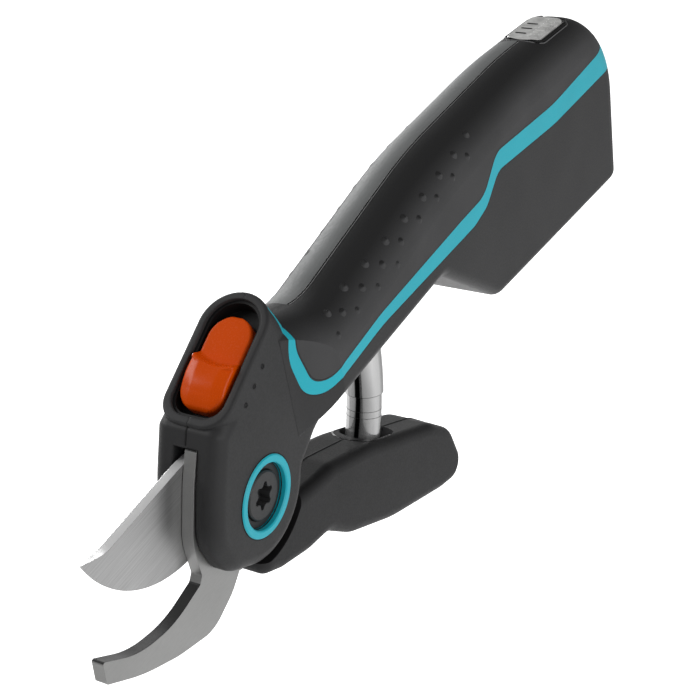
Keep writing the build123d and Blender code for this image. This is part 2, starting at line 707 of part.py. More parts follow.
# ---------------------------------------------------------------- everything
def all_nodes():
    outer = handle_solid(0) + head_solid() + boss_solid()
    skin = skin_of(outer)
    left_grip, right_grip, strip = grips(skin)
    left_stripe, right_stripe = stripes(skin)
    trim = slab(grip_face(), -30, 30) + slab(stripe_face(), -30, 30)
    core = shell_core(outer) - (skin & trim)
    levers = lever_shells()
    nodes = {
        "housing_left_shell": core & half_space("left"),
        "housing_right_shell": core & half_space("right"),
        "grip_left": left_grip,
        "grip_right": right_grip,
        "palm_strip": strip,
        "stripe_left": left_stripe,
        "stripe_right": right_stripe,
        "pivot_ring_left": pivot_ring("left"),
        "pivot_ring_right": pivot_ring("right"),
        "pivot_bolt": pivot_bolt(),
        "pivot_nut": pivot_nut(),
        "pivot_washer": pivot_washer(),
        "hook_blade": hook_blade(),
        "cutting_blade": cutting_blade(),
        "sleeve_upper_tube": sleeve_upper_tube(),
        "sleeve_middle_tube": sleeve_middle_tube(),
        "sleeve_lower_tube": sleeve_lower_tube(),
        "return_spring": return_spring(),
        "pull_strap": pull_strap(),
        "strap_pin": strap_pin(),
        "strap_drum": strap_drum(),
        "drum_shaft": drum_shaft(),
        "gearbox_housing": gearbox_housing(),
        "drive_motor": drive_motor(),
        "battery_cell": battery_cell(),
        "cell_contact_front": cell_contact("front"),
        "cell_contact_rear": cell_contact("rear"),
        "control_board": control_board(),
        "button_switch": button_switch(),
        "button_bezel": bezel(),
        "power_button": power_button(),
        "button_spring": button_spring(),
        "charge_socket": charge_socket(),
        "port_flap": port_flap(outer),
        "slider_tray": slider_tray(),
        "safety_slider": safety_slider(),
        "lever_left_shell": levers & half_space("left"),
        "lever_right_shell": levers & half_space("right"),
        "lever_core": lever_core(),
    }
    for i in range(len(HOOK_PINS)):
        nodes[f"hook_pin_{i + 1}"] = hook_pin(i)
    for i in range(len(TANG_PINS)):
        nodes[f"tang_pin_{i + 1}"] = tang_pin(i)
    for i, (x, z) in enumerate(HOUSING_SCREWS):
        nodes[f"housing_screw_{i + 1}"] = screw(x, z, -7.0, 8.2, 2.5, 1.6)
    for i, (x, z) in enumerate(LEVER_SCREWS):
        nodes[f"lever_screw_{i + 1}"] = screw(x, z, -5.5, 5.9, 2.4, 1.4)
    return nodes


def biggest_solid(shape):
    """A node as one solid, without stray crumbs."""
    solids = shape.solids().sort_by(SortBy.VOLUME)
    for crumb in solids[:-1]:
        print("  left out", round(crumb.volume, 3), "mm3 of", round(solids[-1].volume, 1))
    return solids[-1]


for name, shape in all_nodes().items():
    print(name)
    export_step(biggest_solid(shape), f"parts/{name}.step")
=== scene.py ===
import json
import math

import bmesh
import bpy
from mathutils import Matrix, Vector
from mathutils.bvhtree import BVHTree


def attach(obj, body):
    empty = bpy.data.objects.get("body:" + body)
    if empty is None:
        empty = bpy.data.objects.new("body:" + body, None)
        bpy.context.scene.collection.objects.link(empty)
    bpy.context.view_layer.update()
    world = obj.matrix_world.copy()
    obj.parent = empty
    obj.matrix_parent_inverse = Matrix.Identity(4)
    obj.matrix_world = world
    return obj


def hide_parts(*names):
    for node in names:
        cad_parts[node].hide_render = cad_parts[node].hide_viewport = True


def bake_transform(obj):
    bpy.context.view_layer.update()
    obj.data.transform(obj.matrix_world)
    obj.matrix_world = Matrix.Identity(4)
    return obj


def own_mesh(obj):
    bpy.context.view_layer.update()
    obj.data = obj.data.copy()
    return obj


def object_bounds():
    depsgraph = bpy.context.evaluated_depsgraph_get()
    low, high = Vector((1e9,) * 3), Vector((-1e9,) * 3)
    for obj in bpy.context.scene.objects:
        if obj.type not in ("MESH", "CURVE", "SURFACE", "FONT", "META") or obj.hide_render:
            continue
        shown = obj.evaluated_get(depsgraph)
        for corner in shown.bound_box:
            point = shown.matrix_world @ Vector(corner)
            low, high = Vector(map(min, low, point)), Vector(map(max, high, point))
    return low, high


MM = 0.001

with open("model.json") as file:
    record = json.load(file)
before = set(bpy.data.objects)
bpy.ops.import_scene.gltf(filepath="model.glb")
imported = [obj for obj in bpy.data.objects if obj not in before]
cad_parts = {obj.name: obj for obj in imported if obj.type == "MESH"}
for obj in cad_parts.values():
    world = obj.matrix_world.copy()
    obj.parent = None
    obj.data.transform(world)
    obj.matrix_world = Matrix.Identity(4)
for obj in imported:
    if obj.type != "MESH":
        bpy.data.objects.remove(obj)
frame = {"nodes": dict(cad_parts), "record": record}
nodes = frame["nodes"]
cad_low, cad_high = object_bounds()

# sizes that the frame's parts share with the pieces made here, in mm and degrees
WIDEST = cad_high[1] - 0.01 * MM          # in metres: as far to the side as a piece may reach
HEAD_HALF = 8.8                           # half the head's thickness
RING_R, RING_INNER_R = 9.9, 7.9           # the coloured pivot ring
SLEEVE_CURVE = 60.0                       # radius of the sleeve's curve about the pivot
SLEEVE_R = 5.1                            # the sleeve's upper tube
BUTTON_MIDDLE = Vector((177.5, 0, 31.6))
BUTTON_TILT = math.radians(6.2)
BUTTON_LENGTH, BUTTON_HALF, BUTTON_CORNER = 20.5, 5.2, 2.8
SLOPE = math.radians(26.9)                # the head's rim, and the thumb slide on it
BOSS_TOP = Vector((11.8, 0, 37.1))        # top of the rim


# ---------------------------------------------------------------- colour and materials
def linear(value):
    value /= 255
    return value / 12.92 if value <= 0.04045 else ((value + 0.055) / 1.055) ** 2.4


def rgb(red, green, blue):
    return (linear(red), linear(green), linear(blue), 1)


def scaled_colour(colour, share):
    return tuple(min(1, c * share) for c in colour[:3]) + (1,)


class Nodes:
    """A short way to write a material's nodes."""

    def __init__(self, name, base, rough, metal=0.0, spec=0.5):
        self.mat = bpy.data.materials.new(name)
        self.mat.use_nodes = True
        self.tree = self.mat.node_tree
        self.bsdf = self.tree.nodes["Principled BSDF"]
        self.bsdf.inputs["Base Color"].default_value = base
        self.bsdf.inputs["Roughness"].default_value = rough
        self.bsdf.inputs["Metallic"].default_value = metal
        self.bsdf.inputs["Specular IOR Level"].default_value = spec
        self.coord = self.add("ShaderNodeTexCoord").outputs["Object"]

    def add(self, kind, **settings):
        node = self.tree.nodes.new(kind)
        for key, value in settings.items():
            setattr(node, key, value)
        return node

    def link(self, a, b):
        self.tree.links.new(a, b)

    def scaled(self, sx, sy, sz, turn=(0, 0, 0)):
        node = self.add("ShaderNodeMapping")
        node.inputs["Scale"].default_value = (sx, sy, sz)
        node.inputs["Rotation"].default_value = turn
        self.link(self.coord, node.inputs["Vector"])
        return node.outputs["Vector"]

    def noise(self, scale, detail=3, rough=0.6, vector=None):
        node = self.add("ShaderNodeTexNoise")
        node.inputs["Scale"].default_value = scale
        node.inputs["Detail"].default_value = detail
        node.inputs["Roughness"].default_value = rough
        self.link(vector if vector is not None else self.coord, node.inputs["Vector"])
        return node.outputs["Fac"]

    def ramp(self, value, low, high, start=0.3, end=0.7):
        node = self.add("ShaderNodeMapRange")
        node.inputs["From Min"].default_value = start
        node.inputs["From Max"].default_value = end
        node.inputs["To Min"].default_value = low
        node.inputs["To Max"].default_value = high
        self.link(value, node.inputs["Value"])
        return node.outputs["Result"]

    def mix(self, factor, a, b):
        node = self.add("ShaderNodeMix", data_type="RGBA")
        node.inputs["A"].default_value = a
        node.inputs["B"].default_value = b
        self.link(factor, node.inputs["Factor"])
        return node.outputs["Result"]

    def bump(self, height, distance, strength=1.0, before=None):
        node = self.add("ShaderNodeBump")
        node.inputs["Distance"].default_value = distance
        node.inputs["Strength"].default_value = strength
        self.link(height, node.inputs["Height"])
        if before is not None:
            self.link(before, node.inputs["Normal"])
        return node.outputs["Normal"]

    def soft_edge(self, radius, normal=None):
        node = self.add("ShaderNodeBevel", samples=4)
        node.inputs["Radius"].default_value = radius
        if normal is not None:
            self.link(normal, node.inputs["Normal"])
        return node.outputs["Normal"]

    def looking_up(self, start, end):
        """0 to 1, by how far the surface looks up."""
        split = self.add("ShaderNodeSeparateXYZ")
        self.link(self.add("ShaderNodeNewGeometry").outputs["Normal"], split.inputs[0])
        return self.ramp(split.outputs["Z"], 0, 1, start, end)

    def mix_from(self, factor, colour, b):
        """colour, a socket, mixed towards b."""
        result = self.mix(factor, b, b)
        self.link(colour, result.node.inputs["A"])
        return result

    def set(self, socket, value):
        self.link(value, self.bsdf.inputs[socket])


def moulded(name, base, rough=0.5, grain=0.010, scale=2600, spec=0.4, edge=0.0002, wander=0.10,
            top=None, patches=60):
    """Moulded plastic or rubber: a fine spark-eroded grain and slight patchiness. top is the
    share of the colour left where the surface looks up: painted shade, beyond what the
    lights give."""
    m = Nodes(name, base, rough, spec=spec)
    fine = m.noise(scale, 2, 0.55)
    patch = m.noise(patches, 3, 0.5)
    darker, lighter = scaled_colour(base, 1 - wander), scaled_colour(base, 1 + wander)
    colour = m.mix(m.ramp(patch, 0, 1), darker, lighter)
    if top:
        colour = m.mix_from(m.looking_up(0.35, 0.85), colour, scaled_colour(base, top))
    m.set("Base Color", colour)
    m.set("Roughness", m.ramp(fine, rough - 0.05, rough + 0.07))
    normal = m.bump(fine, grain * MM, 0.6)
    m.set("Normal", m.soft_edge(edge, normal) if edge else normal)
    return m


def ground_steel(name, base, rough, turn=(0, 0, 0), along=(60, 4000, 4000), depth=0.004,
                 aniso=0.4, edge=0.0002, streak=0.80, fade=None, top=None):
    """Ground or brushed steel: fine scratches all one way, and a few longer ones. fade is
    (x of the dark end, x of the bright end, how dark): painted shade, darker steel towards the pivot.
    top is (how far a face must look up, its grey, its metallic share), for the narrow faces:
    a painted highlight where that grey is light, a painted dark reflection where it is dark.
    Both are painted, and are the same from every side."""
    m = Nodes(name, base, rough, metal=1.0)
    m.bsdf.inputs["Anisotropic"].default_value = aniso
    brush = m.noise(1.0, 4, 0.7, m.scaled(*along, turn))
    broad = m.noise(45, 2, 0.5)
    colour = m.mix(m.ramp(brush, 0, 1, 0.35, 0.65), scaled_colour(base, streak), base)
    if fade:
        place = m.add("ShaderNodeSeparateXYZ")
        m.link(m.coord, place.inputs[0])
        share = m.ramp(place.outputs["X"], 1, 0, fade[0] * MM, fade[1] * MM)
        # painted shade: the steel is darkened towards the pivot
        painted_shade = m.add("ShaderNodeMix", data_type="RGBA", blend_type="MULTIPLY")
        painted_shade.inputs["B"].default_value = (fade[2], fade[2], fade[2], 1)
        m.link(colour, painted_shade.inputs["A"])
        m.link(share, painted_shade.inputs["Factor"])
        colour = painted_shade.outputs["Result"]
    # faces that look up take top's grey: a painted highlight where it is light, a painted dark
    # reflection where it is dark
    if top:
        upward = m.looking_up(top[0], top[0] + 0.15)
        colour = m.mix_from(upward, colour, rgb(top[1], top[1], top[1]))
        m.set("Metallic", m.ramp(upward, 1.0, top[2], 0, 1))
    m.set("Base Color", colour)
    m.set("Roughness", m.ramp(broad, rough - 0.05, rough + 0.08))
    normal = m.bump(brush, depth * MM, 0.8)
    m.set("Normal", m.soft_edge(edge, normal) if edge else normal)
    return m


def polished(name, stops, rough):
    """Polished tube. Its dark and light bands are painted, in place of reflections, by how
    far the surface faces along BAND_AXIS. They are fixed, and don't change with the view."""
    m = Nodes(name, (1, 1, 1, 1), rough, metal=0.75)
    facing = m.add("ShaderNodeVectorMath", operation="DOT_PRODUCT")
    facing.inputs[1].default_value = BAND_AXIS
    m.link(m.add("ShaderNodeNewGeometry").outputs["Normal"], facing.inputs[0])
    bands = m.add("ShaderNodeValToRGB")
    m.link(m.ramp(facing.outputs["Value"], 0, 1, -1, 1), bands.inputs["Fac"])
    ramp = bands.color_ramp
    while len(ramp.elements) < len(stops):
        ramp.elements.new(0.5)
    for element, (place, grey) in zip(ramp.elements, stops):
        element.position = place
        element.color = rgb(grey, grey, grey)
    m.set("Base Color", bands.outputs["Color"])
    smear = m.noise(180, 3, 0.5)
    m.set("Roughness", m.ramp(smear, rough * 0.7, rough * 1.5))
    m.set("Normal", m.bump(m.noise(900, 2, 0.5), 0.001 * MM, 0.5))
    return m


def webbing(name, base):
    m = Nodes(name, base, 0.75)
    wave = m.add("ShaderNodeTexWave", wave_type="BANDS", bands_direction="DIAGONAL")
    wave.inputs["Scale"].default_value = 700
    m.link(m.coord, wave.inputs["Vector"])
    m.set("Normal", m.bump(wave.outputs["Fac"], 0.05 * MM))
    m.set("Roughness", m.ramp(wave.outputs["Fac"], 0.65, 0.85, 0, 1))
    return m


SHELL_GREY = rgb(56, 56, 57)
SOFT_BLACK = rgb(80, 80, 81)
TURQUOISE = rgb(32, 205, 225)
ORANGE = rgb(250, 90, 0)

# level, and to the right in the main view; then each band's place along it, and its grey, for the
# sleeve's painted reflections
BAND_AXIS = (0.485, -0.872, 0)
TUBE_BANDS = [
    (0.02, 140), (0.16, 225), (0.26, 200), (0.29, 12), (0.39, 12), (0.42, 185),
    (0.58, 225), (0.74, 255), (0.90, 235), (0.99, 120),
]

made = {
    "housing_plastic": moulded("housing_plastic", SHELL_GREY, 0.52, 0.012, 2200, edge=0.0007),
    # lever and grip: darker where they look up, painted shade
    "lever_plastic": moulded("lever_plastic", rgb(55, 55, 56), 0.56, 0.012, 2200, 0.25, top=0.34),
    "soft_grip": moulded("soft_grip", SOFT_BLACK, 0.62, 0.010, 3000, 0.3, top=0.32),
    # the palm strip's light grey is a painted reflection: the lights' sheen along the top of the handle
    "palm_strip": moulded("palm_strip", rgb(120, 122, 122), 0.60, 0.03, 1500, 0.4, wander=0.06),
    "trim_colour": moulded("trim_colour", TURQUOISE, 0.42, 0.006, 2600, 0.45, wander=0.03),
    "ring_colour": moulded("ring_colour", TURQUOISE, 0.35, 0.004, 2600, 0.5, wander=0.03),
    "slider_colour": moulded("slider_colour", ORANGE, 0.24, 0.001, 2600, 0.22, edge=0, wander=0.03),
    "bezel_plastic": moulded("bezel_plastic", rgb(20, 20, 21), 0.25, 0.004, 2600),
    "button_colour": moulded("button_colour", rgb(222, 222, 220), 0.34, 0.05, 900, 0.5,
                             wander=0.20, patches=420),
    "tray_plastic": moulded("tray_plastic", rgb(22, 22, 23), 0.5, 0.012, 2200),
    "socket_plastic": moulded("socket_plastic", rgb(18, 18, 19), 0.5),
    "flap_rubber": moulded("flap_rubber", rgb(40, 40, 41), 0.7, 0.012, 1800, 0.3),
    "cell_wrap": moulded("cell_wrap", rgb(40, 90, 160), 0.3, 0.004, 800),
    "circuit_board": moulded("circuit_board", rgb(20, 84, 46), 0.35, 0.02, 500),
    "fastener_steel": moulded("fastener_steel", rgb(58, 58, 59), 0.42, 0.006, 2400, 0.5, edge=0.00025),
    "screw_steel": moulded("screw_steel", rgb(45, 45, 46), 0.35, 0.006, 2400, 0.6),
    # blade: painted shade towards the pivot, and a painted highlight on its faces that look up
    "blade_steel": ground_steel("blade_steel", rgb(216, 216, 216), 0.34, (0, 0.62, 0),
                                fade=(-18, -38, 0.84), top=(0.45, 250, 0.35)),
    # hook: a painted dark reflection on its faces that look up
    "hook_steel": ground_steel("hook_steel", rgb(188, 188, 187), 0.42, (0, -0.2, 0),
                               along=(400, 3000, 3000), streak=0.93, aniso=0.1,
                               top=(0.60, 62, 1.0)),
    "bronze": ground_steel("bronze", rgb(180, 140, 84), 0.35),
    "spring_steel": ground_steel("spring_steel", rgb(150, 150, 152), 0.3),
    "pin_steel": ground_steel("pin_steel", rgb(165, 165, 166), 0.28),
    "drum_metal": ground_steel("drum_metal", rgb(178, 180, 182), 0.32),
    "gearbox_metal": ground_steel("gearbox_metal", rgb(128, 130, 132), 0.5),
    "motor_can": ground_steel("motor_can", rgb(170, 172, 174), 0.25),
    "core_metal": moulded("core_metal", rgb(40, 40, 42), 0.5, 0.02, 900),
    "contact_metal": ground_steel("contact_metal", rgb(206, 190, 130), 0.3),
    "sleeve_chrome": polished("sleeve_chrome", TUBE_BANDS, 0.16),
    "sleeve_dark": polished("sleeve_dark", TUBE_BANDS, 0.12),
    "strap_webbing": webbing("strap_webbing", rgb(34, 34, 36)),
}
# black for the seams, and for painted shade in gaps, grooves, slots and pits; the two light greys below
# are painted highlights on edges
seam_and_shade_black = moulded("seam_and_shade_black", rgb(12, 12, 13), 0.6, edge=0)
painted_seam_highlight = moulded("painted_seam_highlight", rgb(150, 150, 150), 0.4, edge=0)
painted_lip_highlight = moulded("painted_lip_highlight", rgb(124, 124, 125), 0.3, edge=0)

for part in frame["record"]["subparts"]:
    material = made[part["material_slot"]].mat
    mesh = nodes[part["node"]].data
    mesh.materials.clear()
    mesh.materials.append(material)


# ---------------------------------------------------------------- mesh helpers
def new_piece(name, bm, material, body):
    mesh = bpy.data.meshes.new(name)
    bm.normal_update()
    bm.to_mesh(mesh)
    bm.free()
    piece = bpy.data.objects.new(name, mesh)
    bpy.context.scene.collection.objects.link(piece)
    mesh.materials.append(material)
    for face in mesh.polygons:
        face.use_smooth = True
    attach(piece, body)
    return piece


def tree_of(name):
    return BVHTree.FromObject(nodes[name], bpy.context.evaluated_depsgraph_get())


def tube(bm, points, radius, sides=8):
    """A thin round bead along a list of points."""
    rings = []
    for i, point in enumerate(points):
        ahead = points[min(i + 1, len(points) - 1)]
        behind = points[max(i - 1, 0)]
        along = (ahead - behind).normalized()
        side = along.cross(Vector((0, 1, 0)))
        side = side.normalized() if side.length > 1e-6 else Vector((1, 0, 0))
        up = along.cross(side).normalized()
        ring = []
        for k in range(sides):
            turn = 2 * math.pi * k / sides
            ring.append(bm.verts.new(point + (side * math.cos(turn) + up * math.sin(turn)) * radius))
        rings.append(ring)
    for a, b in zip(rings, rings[1:]):
        for k in range(sides):
            bm.faces.new((a[k], a[(k + 1) % sides], b[(k + 1) % sides], b[k]))
    bm.faces.new(list(reversed(rings[0])))
    bm.faces.new(rings[-1])


# ---------------------------------------------------------------- grip bumps
def grip_bumps(side):
    """Three rows of small domes moulded into one grip. Each row has the x of its first dome,
    its pitch and count, the z and x at its two ends, and a dome's radius and height."""
    name = "grip_left" if side < 0 else "grip_right"
    grip = tree_of(name)
    bm = bmesh.new()
    rows = [
        (36.8, 9.39, 9, 25.6, 32.6, 36.8, 111.9, 1.30, 0.80),
        (40.5, 9.47, 8, 23.7, 29.1, 40.5, 106.8, 1.20, 0.62),
        (35.0, 9.71, 8, 21.2, 24.3, 35.0, 103.0, 1.05, 0.42),
    ]
    for start, pitch, count, z0, z1, x0, x1, radius, height in rows:
        rise_of_row = height if side < 0 else height * 0.2
        for i in range(count):
            x = start + pitch * i
            z = z0 + (z1 - z0) * (x - x0) / (x1 - x0)
            crest = Vector((x * MM, side * 30 * MM, z * MM))
            hit, normal, face, far = grip.ray_cast(crest, Vector((0, -side, 0)))
            if hit is None or abs(hit.y) > WIDEST - 0.15 * MM:
                continue
            centre = hit
            if normal.y * side < 0:
                normal = -normal
            a = normal.orthogonal().normalized()
            b = normal.cross(a)
            top = bm.verts.new(centre + normal * rise_of_row * MM)
            rings = []
            for step in range(1, 7):
                share = step / 6
                rise = rise_of_row * (0.5 + 0.5 * math.cos(math.pi * share))
                rise -= 0.12 if step == 6 else 0
                ring = []
                for k in range(16):
                    turn = 2 * math.pi * k / 16
                    out = (a * math.cos(turn) + b * math.sin(turn)) * radius * share * MM
                    ring.append(bm.verts.new(centre + out + normal * rise * MM))
                rings.append(ring)
            for k in range(16):
                bm.faces.new((top, rings[0][k], rings[0][(k + 1) % 16]))
            for p, q in zip(rings, rings[1:]):
                for k in range(16):
                    bm.faces.new((p[k], q[k], q[(k + 1) % 16], p[(k + 1) % 16]))
    for v in bm.verts:
        v.co.y = max(-WIDEST, min(WIDEST, v.co.y))
    return new_piece("bumps_" + name, bm, made["soft_grip"].mat, "housing")


# ---------------------------------------------------------------- seams and small marks
def first_hit(trees, start, aim):
    for surface in trees:
        hit = surface.ray_cast(start, aim)[0]
        if hit is not None:
            return hit
    return None


def surface_points(trees, starts, aim, lift):
    """Points where lines from the starts meet the surfaces, in mm, set out by lift."""
    points = []
    for start in starts:
        hit = first_hit(trees, Vector(start) * MM, Vector(aim))
        if hit is not None:
            points.append(hit - Vector(aim) * lift * MM)
    return points


def bead(name, points, radius, material, body):
    bm = bmesh.new()
    tube(bm, points, radius * MM)
    return new_piece(name, bm, material, body)


def stations(x0, x1, count, y):
    return [(x0 + (x1 - x0) * i / count, y, 80) for i in range(count + 1)]


def seams():
    down, black = (0, 0, -1), seam_and_shade_black.mat
    left, strip, right = tree_of("grip_left"), tree_of("palm_strip"), tree_of("grip_right")
    points = surface_points([strip, right], stations(33.2, 166.0, 90, 0.06), down, -0.05)
    bead("spine_seam", points, 0.20, black, "housing")
    # a light grey bead on the grip's side of the seam: a painted highlight on the shell's edge
    points = surface_points([left], stations(33.2, 166.0, 90, -0.30), down, -0.06)
    bead("spine_seam_edge", points, 0.12, painted_seam_highlight.mat, "housing")
    shell = tree_of("housing_right_shell")
    heights = [(-60, 0.05, 25.6 - 0.2 * i) for i in range(20)]
    points = surface_points([shell], heights, (1, 0, 0), -0.03)
    bead("head_seam", points, 0.16, black, "housing")
    lever = tree_of("lever_right_shell")
    tops = [(x, y, 0) for x, y, z in stations(15.5, 45.4, 40, 0.05)]
    points = surface_points([lever], tops, down, -0.16)
    bead("lever_seam_front", points, 0.34, black, "lever")
    tops = [(x, y, 0) for x, y, z in stations(63.2, 85.0, 30, 0.05)]
    points = surface_points([lever], tops, down, -0.16)
    bead("lever_seam_rear", points, 0.34, black, "lever")


def circle_points(centre, radius, normal, count=48):
    """A closed ring of points; the last repeats the first."""
    normal = Vector(normal).normalized()
    a = normal.orthogonal().normalized()
    b = normal.cross(a)
    turns = [2 * math.pi * k / count for k in range(count + 1)]
    return [Vector(centre) + (a * math.cos(t) + b * math.sin(t)) * radius for t in turns]


def mark(bm, centre, normal, across, length, width, height):
    """A low block with rounded ends and a domed top, standing on a surface."""
    normal = normal.normalized()
    across = (across - normal * across.dot(normal)).normalized()
    along = normal.cross(across)
    half, round_r = length / 2 - width / 2, width / 2
    rings = []
    for grow, rise in ((1.0, -0.15), (1.0, height * 0.6), (0.7, height), (0.2, height)):
        ring = []
        for k in range(20):
            t = 2 * math.pi * k / 20
            side = half if math.cos(t) >= 0 else -half
            out = across * (side + round_r * grow * math.cos(t)) + along * (round_r * grow * math.sin(t))
            ring.append(bm.verts.new(centre + (out + normal * rise) * MM))
        rings.append(ring)
    for p, q in zip(rings, rings[1:]):
        for k in range(20):
            bm.faces.new((p[k], p[(k + 1) % 20], q[(k + 1) % 20], q[k]))
    bm.faces.new(rings[-1])


def small_marks():
    # three dimples on the side of the head, each a black floor, painted shade in the pit, in a soft
    # raised edge
    head = tree_of("housing_left_shell")
    floors, edges = bmesh.new(), bmesh.new()
    for x, z in ((8.5, 30.4), (4.3, 28.0), (0.2, 25.9)):
        hit, normal, face, far = head.ray_cast(Vector((x, -30, z)) * MM, Vector((0, 1, 0)))
        if hit is None:
            continue
        if normal.y > 0:
            normal = -normal
        mark(floors, hit, normal, Vector((1, 0, 0)), 1.15, 1.1, 0.02)
        ring = [p * MM + hit for p in circle_points((0, 0, 0), 0.60, normal, 24)]
        tube(edges, ring, 0.09 * MM, 6)
    bmesh.ops.recalc_face_normals(floors, faces=floors.faces)
    new_piece("head_dimples", floors, seam_and_shade_black.mat, "housing")
    new_piece("head_dimple_edges", edges, made["housing_plastic"].mat, "housing")
    # a dark bead round the outer and the inner edge of each pivot ring: painted shade in the gaps
    for name, y in (("ring_gap_left", -HEAD_HALF), ("ring_gap_right", HEAD_HALF)):
        ring = [p * MM for p in circle_points((0, y, 0), RING_R + 0.08, (0, 1, 0), 96)]
        bead(name, ring, 0.13, seam_and_shade_black.mat, "housing")
        ring = [p * MM for p in circle_points((0, y * 0.88, 0), RING_INNER_R - 0.04, (0, 1, 0), 96)]
        bead(name + "_inner", ring, 0.13, seam_and_shade_black.mat, "housing")
    # three black bars on the power button, painted shade standing in for shallow slots
    button = tree_of("power_button")
    bars, ribs = bmesh.new(), bmesh.new()
    for x in (180.6, 176.4, 172.2):
        hit, normal, face, far = button.ray_cast(Vector((x, 2.0, 80)) * MM, Vector((0, 0, -1)))
        mark(bars, hit, normal, Vector((0, 1, 0)), 3.5, 0.95, 0.05)
    for i in range(9):
        x = 170.2 + 1.9 * i
        hit, normal, face, far = button.ray_cast(Vector((x, -2.6, 80)) * MM, Vector((0, 0, -1)))
        mark(ribs, hit, normal, Vector((0, 1, 0)), 3.0, 0.75, 0.16)
    for piece in (bars, ribs):
        bmesh.ops.recalc_face_normals(piece, faces=piece.faces)
    new_piece("button_bars", bars, seam_and_shade_black.mat, "button")
    new_piece("button_ribs", ribs, made["button_colour"].mat, "button")


def button_frame():
    """A dark bead in the gap round the power button, painted shade, and a light grey bead on the lip of
    its frame, a painted highlight.
    """
    surfaces = [tree_of(name) for name in ("button_bezel", "grip_left", "grip_right", "palm_strip")]
    along = Vector((math.cos(BUTTON_TILT), 0, -math.sin(BUTTON_TILT)))
    middle = BUTTON_MIDDLE + Vector((0.4, 0, 0))       # so that the gap is wider behind
    for name, margin, radius, lift, material in (
        ("button_gap", 0.60, 0.50, 0.05, seam_and_shade_black), ("button_lip", 1.35, 0.18, 0.02, painted_lip_highlight),
    ):
        corner = BUTTON_CORNER + margin
        length, width = BUTTON_LENGTH / 2 - BUTTON_CORNER, BUTTON_HALF - BUTTON_CORNER
        points = []
        for k in range(97):
            t = 2 * math.pi * k / 96
            u = math.copysign(length, math.cos(t)) + corner * math.cos(t)
            v = math.copysign(width, math.sin(t)) + corner * math.sin(t)
            start = middle + along * u + Vector((0, v, 12))
            hit = first_hit(surfaces, start * MM, Vector((0, 0, -1)))
            if hit is not None:
                points.append(hit + Vector((0, 0, lift)) * MM)
        bead(name, points, radius, material.mat, "housing")


def on_curve(angle):
    """A point on the sleeve's curve, and the curve's direction there."""
    a = math.radians(angle)
    across = Vector((math.cos(a), 0, math.sin(a)))
    return across * SLEEVE_CURVE, Vector((-across.z, 0, across.x))


def sleeve_rings():
    """The dark shadow line at each step of the sleeve, and the dark lines of two turned grooves: all
    painted shade.
    """
    for name, angle, radius, thick, body in (
        ("sleeve_top_line", -1.62, SLEEVE_R, 0.16, "sleeve"),
        ("sleeve_foot_line", -14.22, 4.95, 0.15, "sleeve"),
        ("lower_groove_1", -18.6, 4.62, 0.07, "lever"),
        ("lower_groove_2", -20.4, 4.62, 0.07, "lever"),
    ):
        centre, along = on_curve(angle)
        ring = [p * MM for p in circle_points(centre, radius, along, 64)]
        bead(name, ring, thick, seam_and_shade_black.mat, body)


def hole_rim():
    """The rolled edge of the opening that the sleeve passes through."""
    shells = [tree_of("lever_left_shell"), tree_of("lever_right_shell")]
    tilt = math.radians(-27)
    along = Vector((math.cos(tilt), 0, math.sin(tilt)))
    middle = along * SLEEVE_CURVE
    half, radius = 8.75 - 5.7, 5.7 + 0.35
    loop = []
    for k in range(73):
        t = 2 * math.pi * k / 72
        u = (half if math.cos(t) >= 0 else -half) + radius * math.cos(t)
        start = middle + along * u + Vector((0, radius * math.sin(t) + 0.01, 15))
        hit = first_hit(shells, start * MM, Vector((0, 0, -1)))
        if hit is not None:
            loop.append(hit + Vector((0, 0, -0.10)) * MM)
    bead("sleeve_hole_rim", loop, 0.28, made["bezel_plastic"].mat, "lever")


# ---------------------------------------------------------------- slider
ALONG = Vector((math.cos(SLOPE), 0, math.sin(SLOPE)))
ABOVE = Vector((-math.sin(SLOPE), 0, math.cos(SLOPE)))
TONGUE, REAR, FRONT, HALF = -2.8, 2.9, -20.2, 5.7


def smooth(low, high, value):
    share = max(0.0, min(1.0, (value - low) / (high - low)))
    return share * share * (3 - 2 * share)


def slider_half(u):
    """Half the slider's width at a place along it."""
    if u > TONGUE:
        return math.sqrt(max(0.0, HALF ** 2 - (u - TONGUE) ** 2))
    corner = 4.0
    if u < FRONT + corner:
        return HALF - corner + math.sqrt(max(0.0, corner ** 2 - (FRONT + corner - u) ** 2))
    return HALF


def slider_height(u, v):
    """The slider's top: a flat tongue, a scooped ramp up to a crest, and a domed rest."""
    crest = -9.6 - 1.5 * (1 - (v / HALF) ** 2) + 0.10 * v
    ramp = -0.95 + 2.35 * smooth(crest + 2.6, crest + 0.25, u)
    if u > crest:
        height = ramp
    else:
        share = (crest - u) / (crest - FRONT)
        height = 1.4 + 0.18 * math.sin(math.pi * min(1, share * 1.6)) - 2.6 * share ** 2.6
        height -= 0.5 * smooth(0.45, 1.0, abs(v) / HALF)
    return height


